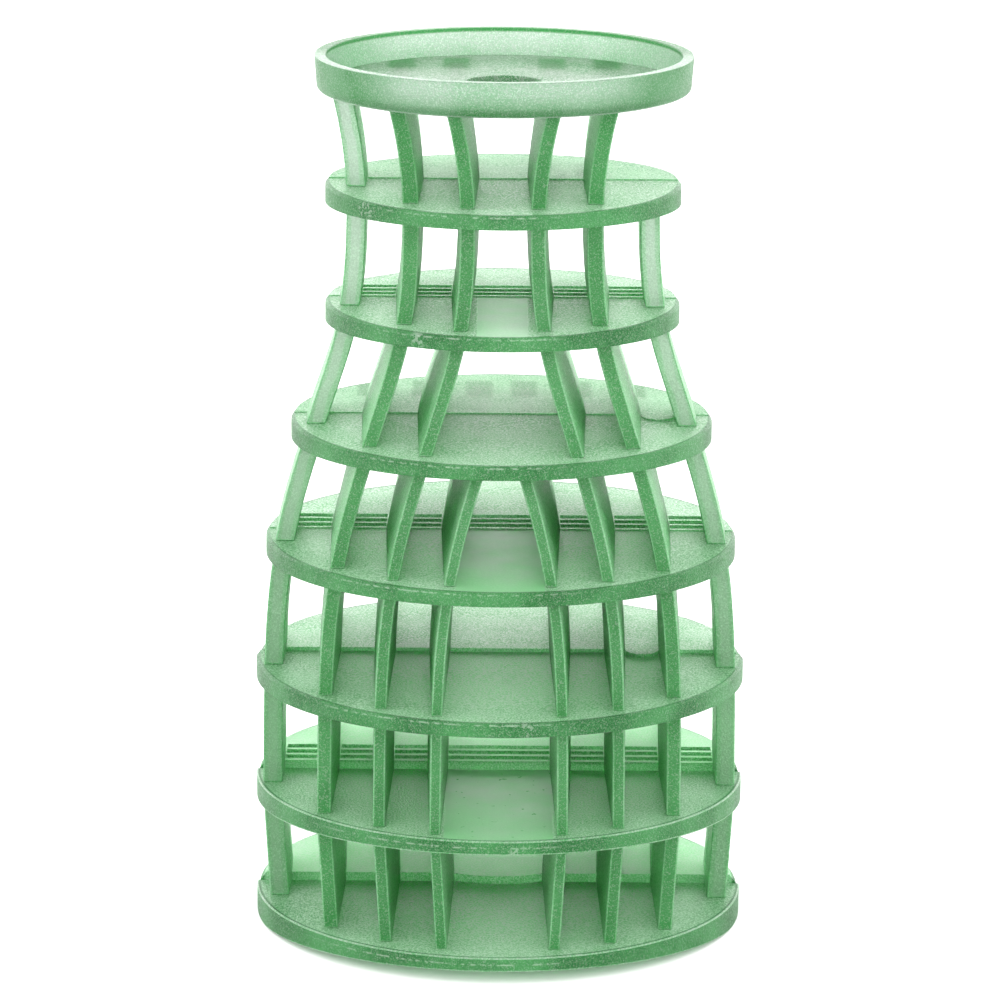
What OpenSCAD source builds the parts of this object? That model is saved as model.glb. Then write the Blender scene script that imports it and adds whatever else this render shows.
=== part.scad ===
// Wasp trap tower in frosted green plastic: a shallow bait cup on top of seven
// round plates held apart by rows of upright fins. Wasps walk in between the fins.
// Millimetres, +Z up, the tower stands on z = 0, its front faces -Y.
// The moulding parts along the plane y = 0: everything in front of that plane is
// one half, everything behind it is the other, and both get thinner away from it.

/* [Outline] */
// Radius of the plates at the belly
belly_radius = 34.3; // [33:0.1:36]
// Radius of the plates at the neck
neck_radius = 24.6; // [23.6:0.1:26]
// Height of the base plate's rim above the ground
base_rim_z = 3.7; // [3.4:0.1:4.5]
// Height from one plate to the next
tier_pitch = 16.6; // [15.5:0.1:18]
// Extra height of the tier where the shoulder begins
shoulder_extra = 1.2; // [0:0.1:2]

/* [Plates] */
// Thickness of a plate at its rim
rim_t = 2; // [1.6:0.1:2.4]
// Height that a plate's top gains from the rear rim to the parting plane
rear_rise = 0.8; // [0.3:0.1:1]
// Height that an upper plate's underside loses from the rim to the parting plane
under_drop = 0.4; // [0.2:0.1:0.8]
// Half width of the flat band that the base stands on
foot_band = 10; // [6:0.5:14]
// Distance that the rear rims of the lower plates stand inside the front rims
rear_setback = 0.4; // [0:0.1:0.6]
// Width of the sloping shoulder at the rim for each millimetre that the top rises above it
rim_shoulder = 0.75; // [0.5:0.05:1]

/* [Grip grooves] */
// Depth of a groove in the rear plates
groove_depth = 0.5; // [0.3:0.1:0.6]
// Width of a groove
groove_w = 2.1; // [1.6:0.1:2.4]
// Width of the land left in front of each groove
land_w = 0.9; // [0.7:0.1:1.2]
// Number of grooves in a bay
groove_count = 3; // [2:1:4]

/* [Fins] */
// Distance between neighbouring fins
fin_pitch = 7.7; // [7.4:0.1:7.8]
// Thickness of a fin at the parting plane
fin_t_seam = 3; // [2.4:0.1:3.2]
// Thickness that a fin loses for each millimetre away from the parting plane
fin_draft = 0.048; // [0.03:0.002:0.05]
// Distance that the outermost fins stand inside the belly plates
belly_overhang = 1; // [0.8:0.1:1.4]
// Distance that the outermost fins stand inside the neck plates
neck_overhang = 3; // [2.8:0.1:3.6]

/* [Bait cup] */
// Radius of the cup at its brim
cup_radius = 26.1; // [25:0.1:27]
// Height of the cup
cup_height = 4.9; // [4:0.1:6]
// Gap between the top plate's rim and the cup
cup_gap = 13.2; // [12:0.1:15]
// Wall thickness at the brim
cup_wall_t = 1.6; // [1.2:0.1:2]
// Thickness of the cup's floor
cup_floor_t = 1.1; // [1:0.1:1.6]
// Radius of the hole in the cup's floor
cup_hole_r = 5.2; // [4:0.1:6]

/* [Hidden] */
$fn = 96;

// Plates and fin rows are counted from the bottom: plate 1 is the base plate, and
// fin row n stands on plate n. FRONT and REAR are the sign of y on each half.
FRONT = -1;
REAR = 1;
LEFT = -1;
RIGHT = 1;
TOP_PLATE = 7;
SHOULDER_LOW = 3;
SHOULDER_HIGH = 6;

front_green = [0.40, 0.69, 0.45];
rear_green = [0.58, 0.80, 0.62];
fin_green = [0.36, 0.65, 0.42];
cup_green = [0.62, 0.82, 0.66];

// The fins lean outwards between these two plates. The height over which they bend
// out of the neck, and the height over which they bend back upright at the belly
LEAN_HIGH = 6;
LEAN_LOW = 4;
neck_bend = 4;
belly_bend = 7.5;
// Outward lean of the top row below the cup, and how far under the top plate it starts
cup_flare = 2;
flare_lead = 3;
// Inward lean of the bottom row at its foot, and the height where that ends
foot_lean = 1.2;
foot_lean_height = 20;
// Distance of the fins' front and rear edges inside their outline
fin_edge_inset = 0.7;
fin_steps = 8;

function clamp01(v) = min(1, max(0, v));
function blend(a, b, s) = a + (b - a) * s;

// Height of a plate's rim, measured at the rim's top edge
function rim_z(n) = base_rim_z + (n - 1) * tier_pitch + (n > SHOULDER_LOW ? shoulder_extra : 0);
cup_bottom_z = rim_z(TOP_PLATE) + cup_gap;
cup_top_z = cup_bottom_z + cup_height;

// Plate radius: neck, quarter-sine shoulder, belly
function plate_radius(n) =
    let (s = (rim_z(SHOULDER_HIGH) - rim_z(n)) / (rim_z(SHOULDER_HIGH) - rim_z(SHOULDER_LOW)))
    blend(neck_radius, belly_radius, sin(90 * clamp01(s)));

// A ramp that is 0 below v = 0 and rises with v above it, rounded over a width w
function soft_ramp(v, w) = w * ln(1 + exp(v / w));

// Outline that the outermost fins follow, as a radius at height z
function cage_radius(z) =
    let (high = rim_z(LEAN_HIGH))
    let (low = rim_z(LEAN_LOW))
    let (neck = neck_radius - neck_overhang)
    let (belly = belly_radius - belly_overhang)
    let (lean = (belly - neck) / (high - low))
    let (flare_from = rim_z(TOP_PLATE) - flare_lead)
    let (flare = clamp01((z - flare_from) / (cup_bottom_z - flare_from)))
    neck + lean * (soft_ramp(high - z, neck_bend) - soft_ramp(low - z, belly_bend))
    + cup_flare * flare * flare
    - foot_lean * clamp01(1 - z / foot_lean_height);

// The three lowest plates are thicker behind the parting plane, and step down in front of it
lower_extra_rise = 0.4;
big_step = 1.2;
middle_step = 0.5;
fine_step = 0.15;
// The plate above the base is the thickest at the parting plane
second_plate_drop = 4 * under_drop;
function lower(n) = n <= SHOULDER_LOW;
function seam_step(n) = n < SHOULDER_LOW ? big_step : n == SHOULDER_LOW ? middle_step : fine_step;
function rise(n, side) =
    rear_rise
    + (lower(n) ? lower_extra_rise : 0)
    - (side == FRONT ? seam_step(n) : 0);
function drop(n) = n == 1 ? base_rim_z - rim_t : n == 2 ? second_plate_drop : under_drop;

// Heights of a plate's two faces at distance d from the parting plane
function top_z(n, side, d) = rim_z(n) + rise(n, side) * (1 - d / plate_radius(n));
function under_z(n, d) = rim_z(n) - rim_t - drop(n) * (1 - d / plate_radius(n));
function ceiling_z(n, d) = n > TOP_PLATE ? cup_bottom_z : under_z(n, d);

// Fin columns are counted from the outermost one inwards
function columns(row) = row <= 4 ? 4 : 3;
function fin_x(z, column) = cage_radius(z) - fin_t_seam / 2 - column * fin_pitch;
function has_fin(row, hand, column) = !(row == TOP_PLATE && hand == RIGHT && column == 0);

// Fin centres from left to right where the row meets its plate
function feet(row) = concat(
    [for (column = [0:columns(row) - 1]) -fin_x(rim_z(row), column)],
    [for (column = [columns(row) - 1:-1:0]) fin_x(rim_z(row), column)]
);

// One half plate, seen as a profile across the parting plane and cut to the round outline
module plate_half(n, side) {
    radius = plate_radius(n);
    cut_radius = side == REAR && lower(n) ? radius - rear_setback : radius;
    underside = n == 1
        ? [[0, 0], [foot_band, 0], [radius, under_z(n, radius)]]
        : [[0, under_z(n, 0)], [radius, under_z(n, radius)]];
    intersection() {
        round_blank(n, cut_radius);
        along_x(2 * radius + 2)
            polygon([
                for (p = underside) [side * p[0], p[1]],
                [side * radius, top_z(n, side, radius)],
                [0, top_z(n, side, 0)]
            ]);
    }
}

// Round blank of a plate: upright up to the rim's height, then sloping inwards
module round_blank(n, radius) {
    shoulder_h = 2 * (rear_rise + lower_extra_rise);
    cylinder(h = rim_z(n), r = radius);
    translate([0, 0, rim_z(n)])
        cylinder(h = shoulder_h, r1 = radius, r2 = radius - shoulder_h * rim_shoulder);
}

// Extrude a y-z profile along x, centred
module along_x(length) {
    rotate([90, 0, 90])
        linear_extrude(height = length, center = true)
            children();
}

module front_plate(n) {
    color(front_green) plate_half(n, FRONT);
}

// Rear plates 2, 4 and 6 have grip grooves behind the parting plane in every bay
module rear_plate(n) {
    color(rear_green)
        difference() {
            plate_half(n, REAR);
            if (n % 2 == 0)
                grip_grooves(n);
        }
}

module grip_grooves(n) {
    x = feet(n);
    clear_z = top_z(n, REAR, 0) + 1;
    for (bay = [0:len(x) - 2])
        for (i = [0:groove_count - 1]) {
            near = land_w + i * (land_w + groove_w);
            far = near + groove_w;
            translate([(x[bay] + x[bay + 1]) / 2, 0, 0])
                along_x(x[bay + 1] - x[bay] - fin_t_seam)
                    polygon([
                        [near, top_z(n, REAR, near) - groove_depth],
                        [far, top_z(n, REAR, far) - groove_depth],
                        [far, clear_z],
                        [near, clear_z]
                    ]);
        }
}

// Where the rear half has flowed past the parting plane: a round-nosed lip that lies
// on the front plate, w either side of x and d forward
module seam_lip(n, x, w, d) {
    r = (w * w + d * d) / (2 * d);
    color(rear_green)
        intersection() {
            translate([x, r - d, 0])
                cylinder(h = rim_z(n) + tier_pitch, r = r);
            along_x(2 * belly_radius)
                polygon([
                    [0, top_z(n, FRONT, 0)],
                    [0, top_z(n, REAR, 0)],
                    [-d - 1, top_z(n, REAR, 0)],
                    [-d - 1, top_z(n, FRONT, d + 1)]
                ]);
        }
}

// One half fin, lofted in level slices from the plate below to the plate above
module fin_half(row, side, hand, column) {
    sx = [side, side, -side, -side];
    reach = [0, 1, 1, 0];
    points = [
        for (i = [0:fin_steps])
            let (s = i / fin_steps)
            let (z = blend(rim_z(row), ceiling_z(row + 1, plate_radius(row)), s))
            let (x = fin_x(z, column))
            let (edge = cage_radius(z) - fin_edge_inset)
            let (depth = sqrt(edge * edge - x * x))
            for (c = [0:3])
                let (d = reach[c] * depth)
                let (t = fin_t_seam - fin_draft * d)
                [
                    hand * x + sx[c] * t / 2,
                    side * d,
                    blend(top_z(row, side, d), ceiling_z(row + 1, d), s)
                ]
    ];
    last = 4 * fin_steps;
    sides = [
        for (i = [0:fin_steps - 1])
            for (c = [0:3])
                let (a = 4 * i + c)
                let (b = 4 * i + (c + 1) % 4)
                each [[a, a + 4, b + 4], [a, b + 4, b]]
    ];
    polyhedron(
        points = points,
        faces = concat([[0, 1, 2, 3]], sides, [[last + 3, last + 2, last + 1, last]])
    );
}

module fin_row(row, side) {
    color(fin_green)
        for (hand = [LEFT, RIGHT])
            for (column = [0:columns(row) - 1])
                if (has_fin(row, hand, column))
                    fin_half(row, side, hand, column);
}

// Bait cup: a ring wall with a rounded foot, around a floor with a central hole
cup_foot_round = 0.8;
cup_draft = 0.3;
cup_inner_r = cup_radius - cup_wall_t - cup_draft;

module cup_wall() {
    foot_r = cup_radius - cup_draft;
    arc = [
        for (a = [-90:15:0])
            [foot_r - cup_foot_round * (1 - cos(a)), cup_bottom_z + cup_foot_round * (1 + sin(a))]
    ];
    color(cup_green)
        rotate_extrude()
            polygon(concat(
                [[cup_inner_r, cup_bottom_z]],
                arc,
                [[cup_radius, cup_top_z], [cup_radius - cup_wall_t, cup_top_z]],
                [[cup_inner_r, cup_bottom_z + cup_floor_t]]
            ));
}

module cup_floor() {
    color(cup_green)
        translate([0, 0, cup_bottom_z])
            difference() {
                cylinder(h = cup_floor_t, r = cup_inner_r);
                translate([0, 0, -1])
                    cylinder(h = cup_floor_t + 2, r = cup_hole_r);
            }
}

// The three plates with a lip: its middle, half width and reach
base_lip = [0, 6.4, 1.6];
plate_3_lip = [bay_middle(3, 5), 2.3, 2.6];
plate_5_lip = [bay_middle(5, 4), 2.2, 3.4];

function bay_middle(n, bay) = (feet(n)[bay] + feet(n)[bay + 1]) / 2;

module rear_plate_with_lip(n, lip) {
    rear_plate(n);
    seam_lip(n, lip[0], lip[1], lip[2]);
}

cup_wall();
cup_floor();
front_plate(1);  // front_base_plate
front_plate(2);  // front_plate_2
front_plate(3);  // front_plate_3
front_plate(4);  // front_plate_4
front_plate(5);  // front_plate_5
front_plate(6);  // front_plate_6
front_plate(7);  // front_plate_7
rear_plate_with_lip(1, base_lip);  // rear_base_plate
rear_plate(2);  // rear_plate_2
rear_plate_with_lip(3, plate_3_lip);  // rear_plate_3
rear_plate(4);  // rear_plate_4
rear_plate_with_lip(5, plate_5_lip);  // rear_plate_5
rear_plate(6);  // rear_plate_6
rear_plate(7);  // rear_plate_7
fin_row(1, FRONT);  // front_fins_1
fin_row(2, FRONT);  // front_fins_2
fin_row(3, FRONT);  // front_fins_3
fin_row(4, FRONT);  // front_fins_4
fin_row(5, FRONT);  // front_fins_5
fin_row(6, FRONT);  // front_fins_6
fin_row(7, FRONT);  // front_fins_7
fin_row(1, REAR);  // rear_fins_1
fin_row(2, REAR);  // rear_fins_2
fin_row(3, REAR);  // rear_fins_3
fin_row(4, REAR);  // rear_fins_4
fin_row(5, REAR);  // rear_fins_5
fin_row(6, REAR);  // rear_fins_6
fin_row(7, REAR);  // rear_fins_7
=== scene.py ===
"""Looks of the wasp trap tower: frosted translucent green plastic on a pale floor.

Every CAD node keeps its own mesh. Modifiers weld it, round its sharp edges and draw its
faces in by a hair, and it gets a procedural plastic. Distances are in metres, +Z up, and
the front faces -Y. Plates are counted from the bottom, and fin row n stands on plate n.
"""

import math

import bpy
from mathutils import Euler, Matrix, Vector


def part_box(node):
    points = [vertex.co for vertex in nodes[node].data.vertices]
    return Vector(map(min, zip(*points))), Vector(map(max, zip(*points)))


MM = 0.001

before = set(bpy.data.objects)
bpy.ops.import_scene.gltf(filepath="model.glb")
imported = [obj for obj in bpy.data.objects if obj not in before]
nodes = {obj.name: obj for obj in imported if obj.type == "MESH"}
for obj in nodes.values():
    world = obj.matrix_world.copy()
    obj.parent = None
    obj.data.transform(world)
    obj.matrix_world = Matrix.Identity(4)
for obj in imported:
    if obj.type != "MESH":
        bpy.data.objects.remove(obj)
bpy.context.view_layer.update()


# ---------------------------------------------------------------- camera

CAMERA_ELEVATION = 13.61
CAMERA_DISTANCE = 719.7 * MM
CAMERA_LENS = 185.0
CAMERA_ROLL = 0.43
TARGET = Vector((-0.14, 0.0, 59.6)) * MM


def make_camera():
    """A long lens in front of the tower, a little above it."""
    data = bpy.data.cameras.new("camera")
    data.lens = CAMERA_LENS
    data.clip_start = 0.05
    data.clip_end = 20.0
    camera = bpy.data.objects.new("camera", data)
    bpy.context.scene.collection.objects.link(camera)
    elevation = math.radians(CAMERA_ELEVATION)
    back = Vector((0.0, -math.cos(elevation), math.sin(elevation)))
    camera.location = TARGET + back * CAMERA_DISTANCE
    roll = Euler((0.0, 0.0, math.radians(CAMERA_ROLL))).to_quaternion()
    camera.rotation_mode = "QUATERNION"
    camera.rotation_quaternion = (-back).to_track_quat("-Z", "Y") @ roll
    bpy.context.scene.camera = camera


# ---------------------------------------------------------------- node helpers


class Tree:
    """A node tree, with short calls for the nodes used here."""

    def __init__(self, tree):
        self.tree = tree

    def add(self, kind, **settings):
        node = self.tree.nodes.new(kind)
        for key, value in settings.items():
            setattr(node, key, value)
        return node

    def feed(self, socket, value):
        """Links a socket, or sets its value."""
        if isinstance(value, bpy.types.NodeSocket):
            self.tree.links.new(value, socket)
        else:
            socket.default_value = value

    def maths(self, operation, a, b=0.0, c=0.0, clamp=False):
        node = self.add("ShaderNodeMath", operation=operation, use_clamp=clamp)
        for socket, value in zip(node.inputs, (a, b, c)):
            self.feed(socket, value)
        return node.outputs[0]

    def product(self, first, *others):
        for other in others:
            first = self.maths("MULTIPLY", first, other)
        return first

    def less(self, a, b):
        return self.maths("SUBTRACT", a, b)

    def size(self, value):
        """A value without its sign."""
        return self.maths("ABSOLUTE", value)

    def length(self, a, b):
        """The distance that two steps at right angles make."""
        return self.maths("SQRT", self.maths("MULTIPLY_ADD", a, a, self.product(b, b)))

    def split(self, vector):
        """The x, y and z of a vector."""
        node = self.add("ShaderNodeSeparateXYZ")
        self.feed(node.inputs[0], vector)
        return node.outputs

    def noise(self, vector, scale, detail=2.0, roughness=0.5):
        node = self.add("ShaderNodeTexNoise")
        self.feed(node.inputs["Vector"], vector)
        node.inputs["Scale"].default_value = scale
        node.inputs["Detail"].default_value = detail
        node.inputs["Roughness"].default_value = roughness
        return node.outputs["Fac"]

    def band(self, value, low, high, out_low=0.0, out_high=1.0):
        """Maps a value from low..high to out_low..out_high, smoothly and clamped."""
        node = self.add("ShaderNodeMapRange", interpolation_type="SMOOTHSTEP")
        for key, number in (
            ("Value", value),
            ("From Min", low),
            ("From Max", high),
            ("To Min", out_low),
            ("To Max", out_high),
        ):
            self.feed(node.inputs[key], number)
        return node.outputs["Result"]

    def mix(self, share, a, b):
        node = self.add("ShaderNodeMix", data_type="RGBA")
        self.feed(node.inputs[0], share)
        self.feed(node.inputs[6], a)
        self.feed(node.inputs[7], b)
        return node.outputs[2]


# ---------------------------------------------------------------- materials

# Tints that the plastic gives the light passing through it, from thick to thin
DARK = (0.011, 0.125, 0.023, 1.0)
DEEP = (0.036, 0.29, 0.060, 1.0)
GREEN = (0.14, 0.56, 0.185, 1.0)
BRIGHT = (0.44, 1.0, 0.50, 1.0)
LIGHT = (0.55, 0.90, 0.60, 1.0)
FROST = (0.88, 1.0, 0.90, 1.0)

# Tints of the thin walls that are seen against the bright background
THIN_DEEP = (0.006, 0.175, 0.018, 1.0)
THIN = (0.25, 0.47, 0.29, 1.0)
THIN_PALE = (0.59, 0.58, 0.59, 1.0)
CUP_FLOOR = (0.025, 0.26, 0.05, 1.0)
OUTER_FIN = (0.62, 0.68, 0.63, 1.0)
OUTER_FIN_PALE = (0.82, 0.88, 0.84, 1.0)

# Tints of two upper rear plates and of the smooth windows in the front plates
REAR_HIGH = (0.07, 0.44, 0.11, 1.0)
WINDOW = (0.62, 1.0, 0.67, 1.0)

# Light that the plastic takes away inside, and how quickly
INSIDE_TINT = (0.05, 0.537, 0.13, 1.0)
INSIDE_DENSITY = 5.0

# How clear the thick plates and the thinner fins and cup are, and how much they shine
PLATE_CLEAR = 0.55
THIN_CLEAR = 0.7
BEND = 1.42
SHEEN = 0.1
LOW_SHEEN = 0.03
NO_SHEEN = 0.0

# Noise: wide clouds, frosted grain and small glints, in turns per metre
CLOUD_SCALE = 110.0
GRAIN_SCALE = 3600.0
GLINT_SCALE = 6000.0
GRAIN_DEPTH = 0.12 * MM

# Faces count as flat or sideways where the normal's share passes these two values
FACING = (0.55, 0.85)

# The outermost fins: how deep they reach in from their outer side, their middle, and the
# heights between which their clear tint comes in
OUTER_FIN_DEPTH = 4.8 * MM
OUTER_FIN_MIDDLE = 1.5 * MM
CLEAR_FIN_HEIGHTS = (20.0 * MM, 125.0 * MM)
FIN_STEPS = 6
COLUMN_GAP = 3.0 * MM
TOP_BAND = 1.5 * MM

# The lowest plates, whose edge is further out than this, get less light, so a brighter tint is painted
# on them as painted light
LOW_PLATE_EDGE = 32.0 * MM
LOW_REAR_PLATES = ("rear_base_plate", "rear_plate_2")
DARKER_REAR_PLATES = ("rear_plate_5", "rear_plate_7")

# Half the width of the smooth window in a front plate's top, and the plate with scuffs in it
WINDOWS = {"front_plate_2": 7.6 * MM, "front_plate_4": 6.2 * MM, "front_plate_6": 3.6 * MM}
SCUFFED = "front_plate_2"

# Where the flow of plastic met and left a mark in a front rim
KNIT_MARKS = {
    "front_plate_7": -18.6 * MM,
    "front_plate_6": -11.3 * MM,
    "front_plate_3": 3.7 * MM,
    "front_plate_2": 2.6 * MM,
}

# Plates whose rear half gets painted shadows: soft dark patches over the fins standing under it
SHADOWED = {"rear_plate_5": "rear_fins_4"}


def top_points(name, z):
    """The points of a fin row that lie close to height z."""
    return [v.co for v in nodes[name].data.vertices if abs(v.co.z - z) < TOP_BAND]


def outer_reach(name, z):
    """How far out the outermost fin of a row is at height z."""
    return max(abs(point.x) for point in top_points(name, z))


def fin_columns(name):
    """The middle of each fin of a row, left to right, at the row's top."""
    groups = []
    for x in sorted(point.x for point in top_points(name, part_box(name)[1].z)):
        if groups and x - groups[-1][-1] < COLUMN_GAP:
            groups[-1].append(x)
        else:
            groups.append([x])
    return [(group[0] + group[-1]) / 2.0 for group in groups]


class Plastic(Tree):
    """The parts that every look of the moulding shares."""

    def __init__(self, name):
        self.material = bpy.data.materials.new(name)
        self.material.use_nodes = True
        super().__init__(self.material.node_tree)
        self.tree.nodes.clear()
        self.place = self.add("ShaderNodeTexCoord").outputs["Object"]
        self.x, self.y, self.z = self.split(self.place)
        normal = self.split(self.add("ShaderNodeNewGeometry").outputs["Normal"])
        self.flat = self.band(self.size(normal[2]), *FACING)
        self.sideways = self.band(self.size(normal[0]), *FACING)
        self.cloud = self.noise(self.place, CLOUD_SCALE, 3.0)
        self.grain = self.noise(self.place, GRAIN_SCALE, 1.0, 0.6)
        self.glint = self.noise(self.place, GLINT_SCALE, 0.0)

    def radius(self):
        return self.length(self.y, self.x)

    def grained(self, dark, light, amount):
        """A tint broken up by cloudy patches, frosted grain and a few painted glints: bright specks
        that stand in for highlights.
        """
        cloudy = self.mix(self.band(self.cloud, 0.3, 0.7, 0.0, 0.3), dark, light)
        frosted = self.mix(self.product(self.band(self.grain, 0.47, 0.57), amount), cloudy, light)
        return self.mix(self.product(self.band(self.glint, 0.6, 0.68), amount), frosted, FROST)

    def roughness(self, dull, shiny):
        """Roughness that follows the grain."""
        return self.band(self.grain, 0.4, 0.65, dull, shiny)

    def reach(self, name):
        """How far out the outermost fin of a row is, following the fin's curve up its height."""
        low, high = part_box(name)
        heights = [low.z + (high.z - low.z) * k / FIN_STEPS for k in range(FIN_STEPS + 1)]
        total = outer_reach(name, heights[0])
        for lower, upper in zip(heights, heights[1:]):
            change = outer_reach(name, upper) - outer_reach(name, lower)
            part = self.band(self.z, lower, upper, 0.0, change)
            part.node.interpolation_type = "LINEAR"
            total = self.maths("ADD", part, total)
        return total

    def front_rim(self, edge):
        """A mask for the rim of a plate's front half."""
        front = self.band(self.y, -8.0 * MM, -6.0 * MM, 1.0, 0.0)
        return self.product(front, self.band(self.radius(), edge - 2.0 * MM, edge - 1.0 * MM))

    def knit_mark(self, tint, across, middle, edge):
        """A small pale smudge of curls in the rim."""
        away = self.length(self.less(self.z, middle), self.less(self.x, across))
        near = self.band(away, 0.7 * MM, 1.4 * MM, 0.25, 0.0)
        curls = self.band(self.noise(self.place, 2000.0, 1.0), 0.5, 0.58)
        return self.mix(self.product(near, curls, self.front_rim(edge)), tint, FROST)

    def glint_line(self, tint, top, edge):
        """A painted highlight: a broken bright line along the rim, a little under the plate's top."""
        line = self.band(self.size(self.less(self.z, top - 1.0 * MM)), 0.02 * MM, 0.18 * MM, 0.35, 0.0)
        broken = self.band(self.noise(self.place, 900.0, 3.0, 0.7), 0.44, 0.6)
        aside = self.size(self.maths("ADD", self.x, 0.2 * edge))
        middle = self.band(aside, 0.3 * edge, 0.6 * edge, 1.0, 0.0)
        return self.mix(self.product(line, broken, middle, self.front_rim(edge)), tint, FROST)

    def shadows(self, columns, near, far):
        """A mask with one soft dark patch over each fin that meets the plate from below."""
        away = self.size(self.y)
        total = 0.0
        for column in columns:
            off = self.size(self.less(self.x, column))
            total = self.maths("ADD", self.band(off, 1.4 * MM, 2.4 * MM, 1.0, 0.0), total)
        inside = self.product(
            self.band(away, near - 2.0 * MM, near + 2.0 * MM),
            self.band(away, far - 1.5 * MM, far + 1.5 * MM, 1.0, 0.0),
        )
        return self.maths("MULTIPLY", total, inside, clamp=True)

    def close(self, tint, rough, height, clear, bump=0.5, sheen=SHEEN):
        """Ends the tree with the clear, rough, green shader."""
        relief = self.add("ShaderNodeBump")
        relief.inputs["Strength"].default_value = bump
        relief.inputs["Distance"].default_value = GRAIN_DEPTH
        self.feed(relief.inputs["Height"], height)
        shader = self.add("ShaderNodeBsdfPrincipled")
        self.feed(shader.inputs["Base Color"], tint)
        self.feed(shader.inputs["Roughness"], rough)
        self.feed(shader.inputs["Normal"], relief.outputs[0])
        shader.inputs["IOR"].default_value = BEND
        shader.inputs["Specular IOR Level"].default_value = sheen
        shader.inputs["Transmission Weight"].default_value = clear
        inside = self.add("ShaderNodeVolumeAbsorption")
        inside.inputs["Color"].default_value = INSIDE_TINT
        inside.inputs["Density"].default_value = INSIDE_DENSITY
        output = self.add("ShaderNodeOutputMaterial")
        self.feed(output.inputs["Surface"], shader.outputs[0])
        self.feed(output.inputs["Volume"], inside.outputs[0])
        return self.material


def front_faces(t, name, edge):
    """Tint and relief of a front plate's top and underside."""
    outwards = t.band(t.radius(), 0.5 * edge, 0.98 * edge)
    if edge > LOW_PLATE_EDGE:
        # Painted light: the lowest plates get a brighter tint, as they get less light
        dark_grain = t.band(t.grain, 0.36, 0.44, 1.0, 0.0)
        specks = t.product(dark_grain, t.band(outwards, 0.0, 1.0, 0.3, 0.6))
        faces = t.mix(specks, t.grained(BRIGHT, FROST, 0.9), GREEN)
        rim_shade = t.band(t.size(t.x), 0.3 * edge, 0.85 * edge, 0.7, 0.92)
    else:
        faces = t.grained(GREEN, FROST, 0.66 if name == "front_plate_5" else 0.78)
        rim_shade = 0.35
    # The strip near the rim gets the most light, so it gets a deeper tint
    shade = t.product(outwards, rim_shade)
    faces = t.mix(shade, faces, t.grained(DEEP, LIGHT, 0.55))
    if name not in WINDOWS:
        return faces, t.grain
    half = WINDOWS[name]
    across = t.band(t.size(t.x), half - 0.3 * MM, half, 1.0, 0.0)
    smooth = t.mix(t.band(t.cloud, 0.3, 0.7), WINDOW, FROST)
    if name == SCUFFED:
        scuffs = t.band(t.noise(t.place, 700.0, 2.0, 0.7), 0.68, 0.7)
        smooth = t.mix(scuffs, smooth, GREEN)
    faces = t.mix(across, faces, t.mix(shade, smooth, GREEN))
    return faces, t.product(t.grain, t.less(1.0, across))


def rear_faces(t, name, edge):
    """Tint of a rear plate's top and underside."""
    if name in LOW_REAR_PLATES:
        # Painted light: the lowest rear plates get a brighter tint, as they get less light
        return t.grained(BRIGHT, FROST, 0.4)
    if name in DARKER_REAR_PLATES:
        faces = t.grained(REAR_HIGH, LIGHT, 0.5)
    else:
        faces = t.grained(GREEN, FROST, 0.78)
    if name in SHADOWED:
        # Painted shade: a soft dark patch over each fin that stands under the plate
        mask = t.shadows(fin_columns(SHADOWED[name]), 0.4 * edge, 0.82 * edge)
        faces = t.mix(mask, faces, t.grained(DEEP, GREEN, 0.3))
    return faces


def plate_look(name):
    """Grained top and underside, a darker rim, and a smooth window in some front plates. The paler
    faces and darker rim are partly the plastic's thickness and partly painted light and shade.
    """
    t = Plastic(name + "_look")
    low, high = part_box(name)
    edge = high.x
    front = name.startswith("front")
    if front:
        faces, height = front_faces(t, name, edge)
        sheen = SHEEN
    else:
        faces, height = rear_faces(t, name, edge), t.grain
        sheen = NO_SHEEN if name in LOW_REAR_PLATES else LOW_SHEEN
    rim = t.grained(DARK, GREEN, 0.15)
    inwards = t.band(t.radius(), edge - 0.8 * MM, edge - 0.4 * MM, 1.0, 0.0)
    upright = t.mix(inwards, rim, t.grained(GREEN, LIGHT, 0.6))
    # Painted light and shade: flat faces take the paler tint and the rim the darker one, on top of the
    # plastic's thickness
    tint = t.mix(t.product(t.flat, inwards), upright, faces)
    # Painted highlight: a broken bright line along the front rim
    if front:
        tint = t.glint_line(tint, high.z, edge)
    if name in KNIT_MARKS:
        tint = t.knit_mark(tint, KNIT_MARKS[name], (low.z + high.z) / 2.0, edge)
    return t.close(tint, t.roughness(0.5, 0.35), height, PLATE_CLEAR, 0.8, sheen)


def fin_look(name):
    """Lighter sides and darker front and rear edges, partly the plastic's thickness and partly painted
    light and shade; the outermost fins are painted lighter still, for the background light through
    them.
    """
    t = Plastic(name + "_look")
    inset = t.less(t.reach(name), t.size(t.x))
    sides = t.grained(GREEN, LIGHT, 0.5)
    edges = t.grained(DEEP, GREEN, 0.25)
    # Painted light: the outermost fins are lighter, for the background light through them
    outermost = t.band(inset, OUTER_FIN_DEPTH, OUTER_FIN_DEPTH + 1.2 * MM, 1.0, 0.0)
    outermost = t.product(outermost, t.band(t.z, *CLEAR_FIN_HEIGHTS, 0.32, 1.0))
    outline = t.band(t.size(t.less(inset, OUTER_FIN_MIDDLE)), 0.5 * MM, 0.8 * MM, 0.0, 0.45)
    clear = t.mix(outline, t.grained(OUTER_FIN, OUTER_FIN_PALE, 0.6), t.grained(GREEN, LIGHT, 0.5))
    # Sideways faces take the lighter tint and front and rear faces the darker one: partly painted
    # light and shade
    tint = t.mix(t.sideways, t.mix(outermost, edges, clear), sides)
    return t.close(tint, t.roughness(0.5, 0.32), t.grain, THIN_CLEAR)


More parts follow.
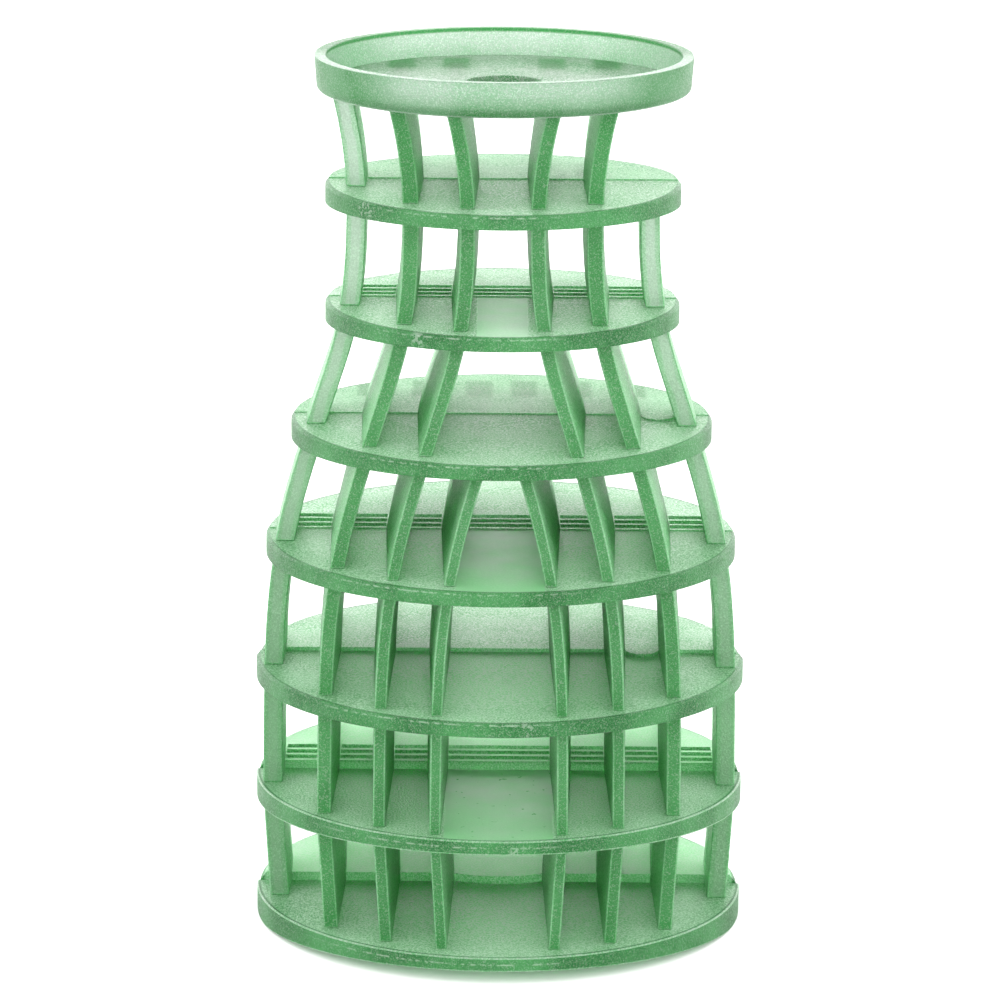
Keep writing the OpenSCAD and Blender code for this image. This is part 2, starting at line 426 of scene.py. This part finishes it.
def cup_floor_look(name):
    """Green, with painted shadows: soft dark patches over the fins under it, where they would show
    through.
    """
    t = Plastic(name + "_look")
    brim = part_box("cup_wall")[1].x
    # Painted shade: a soft dark patch over each fin under the floor
    mask = t.shadows(fin_columns("rear_fins_7"), 0.42 * brim, 0.8 * brim)
    tint = t.mix(mask, t.grained(CUP_FLOOR, THIN_PALE, 0.5), t.grained(THIN_DEEP, GREEN, 0.1))
    return t.close(tint, t.roughness(0.45, 0.3), t.grain, THIN_CLEAR, sheen=LOW_SHEEN)


def cup_wall_look(name):
    """Greener low down, at the sides and along the brim at the back; pale in between."""
    t = Plastic(name + "_look")
    low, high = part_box(name)
    pale = t.grained(THIN, THIN_PALE, 0.5)
    deep = t.grained(THIN_DEEP, THIN, 0.15)
    height = t.band(t.z, low.z, high.z - 0.2 * (high.z - low.z))
    ends = t.band(t.size(t.x), 0.45 * high.x, 0.85 * high.x)
    outside = t.band(t.radius(), high.x - 1.1 * MM, high.x - 0.9 * MM)
    outer = t.mix(t.product(height, t.less(1.0, ends)), deep, pale)
    wall = t.mix(t.flat, t.mix(outside, pale, outer), pale)
    brim = t.band(t.z, high.z - 0.7 * MM, high.z - 0.4 * MM)
    back = t.band(t.y, -4.0 * MM, 4.0 * MM)
    tint = t.mix(t.product(brim, back), wall, t.grained(THIN_DEEP, DEEP, 0.1))
    return t.close(tint, t.roughness(0.45, 0.3), t.grain, THIN_CLEAR, sheen=LOW_SHEEN)


def edge_look(name, light, amount):
    """Sharp edges, painted a little paler as a highlight along them, with bright specks."""
    t = Plastic(name)
    return t.close(t.grained(GREEN, light, amount), t.roughness(0.5, 0.35), t.grain, THIN_CLEAR, 0.2)


# ---------------------------------------------------------------- the tower

WELD_DISTANCE = 0.002 * MM
FLAT_ANGLE = 0.6
FACE_GAP = 0.015 * MM
EDGE_WIDTH = 0.2 * MM
SHARP_ANGLE = 30.0


def soften(node):
    """Rounds a CAD node's sharp edges and keeps its faces just off its neighbours' faces.

    Clear plastic needs that gap: light can't tell two faces in one place apart.
    """
    weld = node.modifiers.new("weld", "WELD")
    weld.merge_threshold = WELD_DISTANCE
    flatten = node.modifiers.new("flatten", "DECIMATE")
    flatten.decimate_type = "DISSOLVE"
    flatten.angle_limit = math.radians(FLAT_ANGLE)
    gap = node.modifiers.new("gap", "DISPLACE")
    gap.strength = -FACE_GAP
    gap.mid_level = 0.0
    bevel = node.modifiers.new("round", "BEVEL")
    bevel.width = EDGE_WIDTH
    bevel.segments = 3
    bevel.limit_method = "ANGLE"
    bevel.angle_limit = math.radians(SHARP_ANGLE)
    bevel.material = 1
    node.modifiers.new("shading", "WEIGHTED_NORMAL")


def dress():
    """Gives every node its look, with the look of its rounded edges in the second slot."""
    # The rounded edges get a painted highlight: a paler tint with bright specks
    plate_edge = edge_look("plate_edge_look", FROST, 0.5)
    fin_edge = edge_look("fin_edge_look", LIGHT, 0.4)
    for name, node in nodes.items():
        if "fins" in name:
            look, edge = fin_look(name), fin_edge
        elif name == "cup_floor":
            look = edge = cup_floor_look(name)
        elif name == "cup_wall":
            look = edge = cup_wall_look(name)
        else:
            look, edge = plate_look(name), plate_edge
        node.data.materials.clear()
        node.data.materials.append(look)
        node.data.materials.append(edge)
        soften(node)


# ---------------------------------------------------------------- stage

# A soft white room, brighter near the horizon than overhead
HORIZON_LIGHT = 3.8
OVERHEAD_LIGHT = 1.5
HORIZON_TO_OVERHEAD = (0.15, 0.85)
FLOOR_HALF = 4.0


def make_stage():
    scene = bpy.context.scene
    scene.view_settings.view_transform = "Standard"
    scene.cycles.max_bounces = 24
    scene.cycles.transmission_bounces = 24
    scene.cycles.diffuse_bounces = 8
    scene.cycles.glossy_bounces = 8
    world = bpy.data.worlds.new("soft_white")
    scene.world = world
    world.use_nodes = True
    light = Tree(world.node_tree)
    up = light.split(light.add("ShaderNodeTexCoord").outputs["Generated"])[2]
    sky = world.node_tree.nodes["Background"]
    sky.inputs["Color"].default_value = (1.0, 1.0, 1.0, 1.0)
    strength = light.band(up, *HORIZON_TO_OVERHEAD, HORIZON_LIGHT, OVERHEAD_LIGHT)
    light.feed(sky.inputs["Strength"], strength)

    mesh = bpy.data.meshes.new("floor")
    corners = [(-1, -1), (1, -1), (1, 1), (-1, 1)]
    mesh.from_pydata([(x * FLOOR_HALF, y * FLOOR_HALF, 0.0) for x, y in corners], [], [(0, 1, 2, 3)])
    floor = bpy.data.objects.new("floor", mesh)
    scene.collection.objects.link(floor)
    material = bpy.data.materials.new("floor_pale")
    material.use_nodes = True
    shader = material.node_tree.nodes["Principled BSDF"]
    shader.inputs["Base Color"].default_value = (0.9, 0.9, 0.9, 1.0)
    shader.inputs["Roughness"].default_value = 0.9
    shader.inputs["Specular IOR Level"].default_value = 0.1
    floor.data.materials.append(material)


make_camera()
dress()
make_stage()
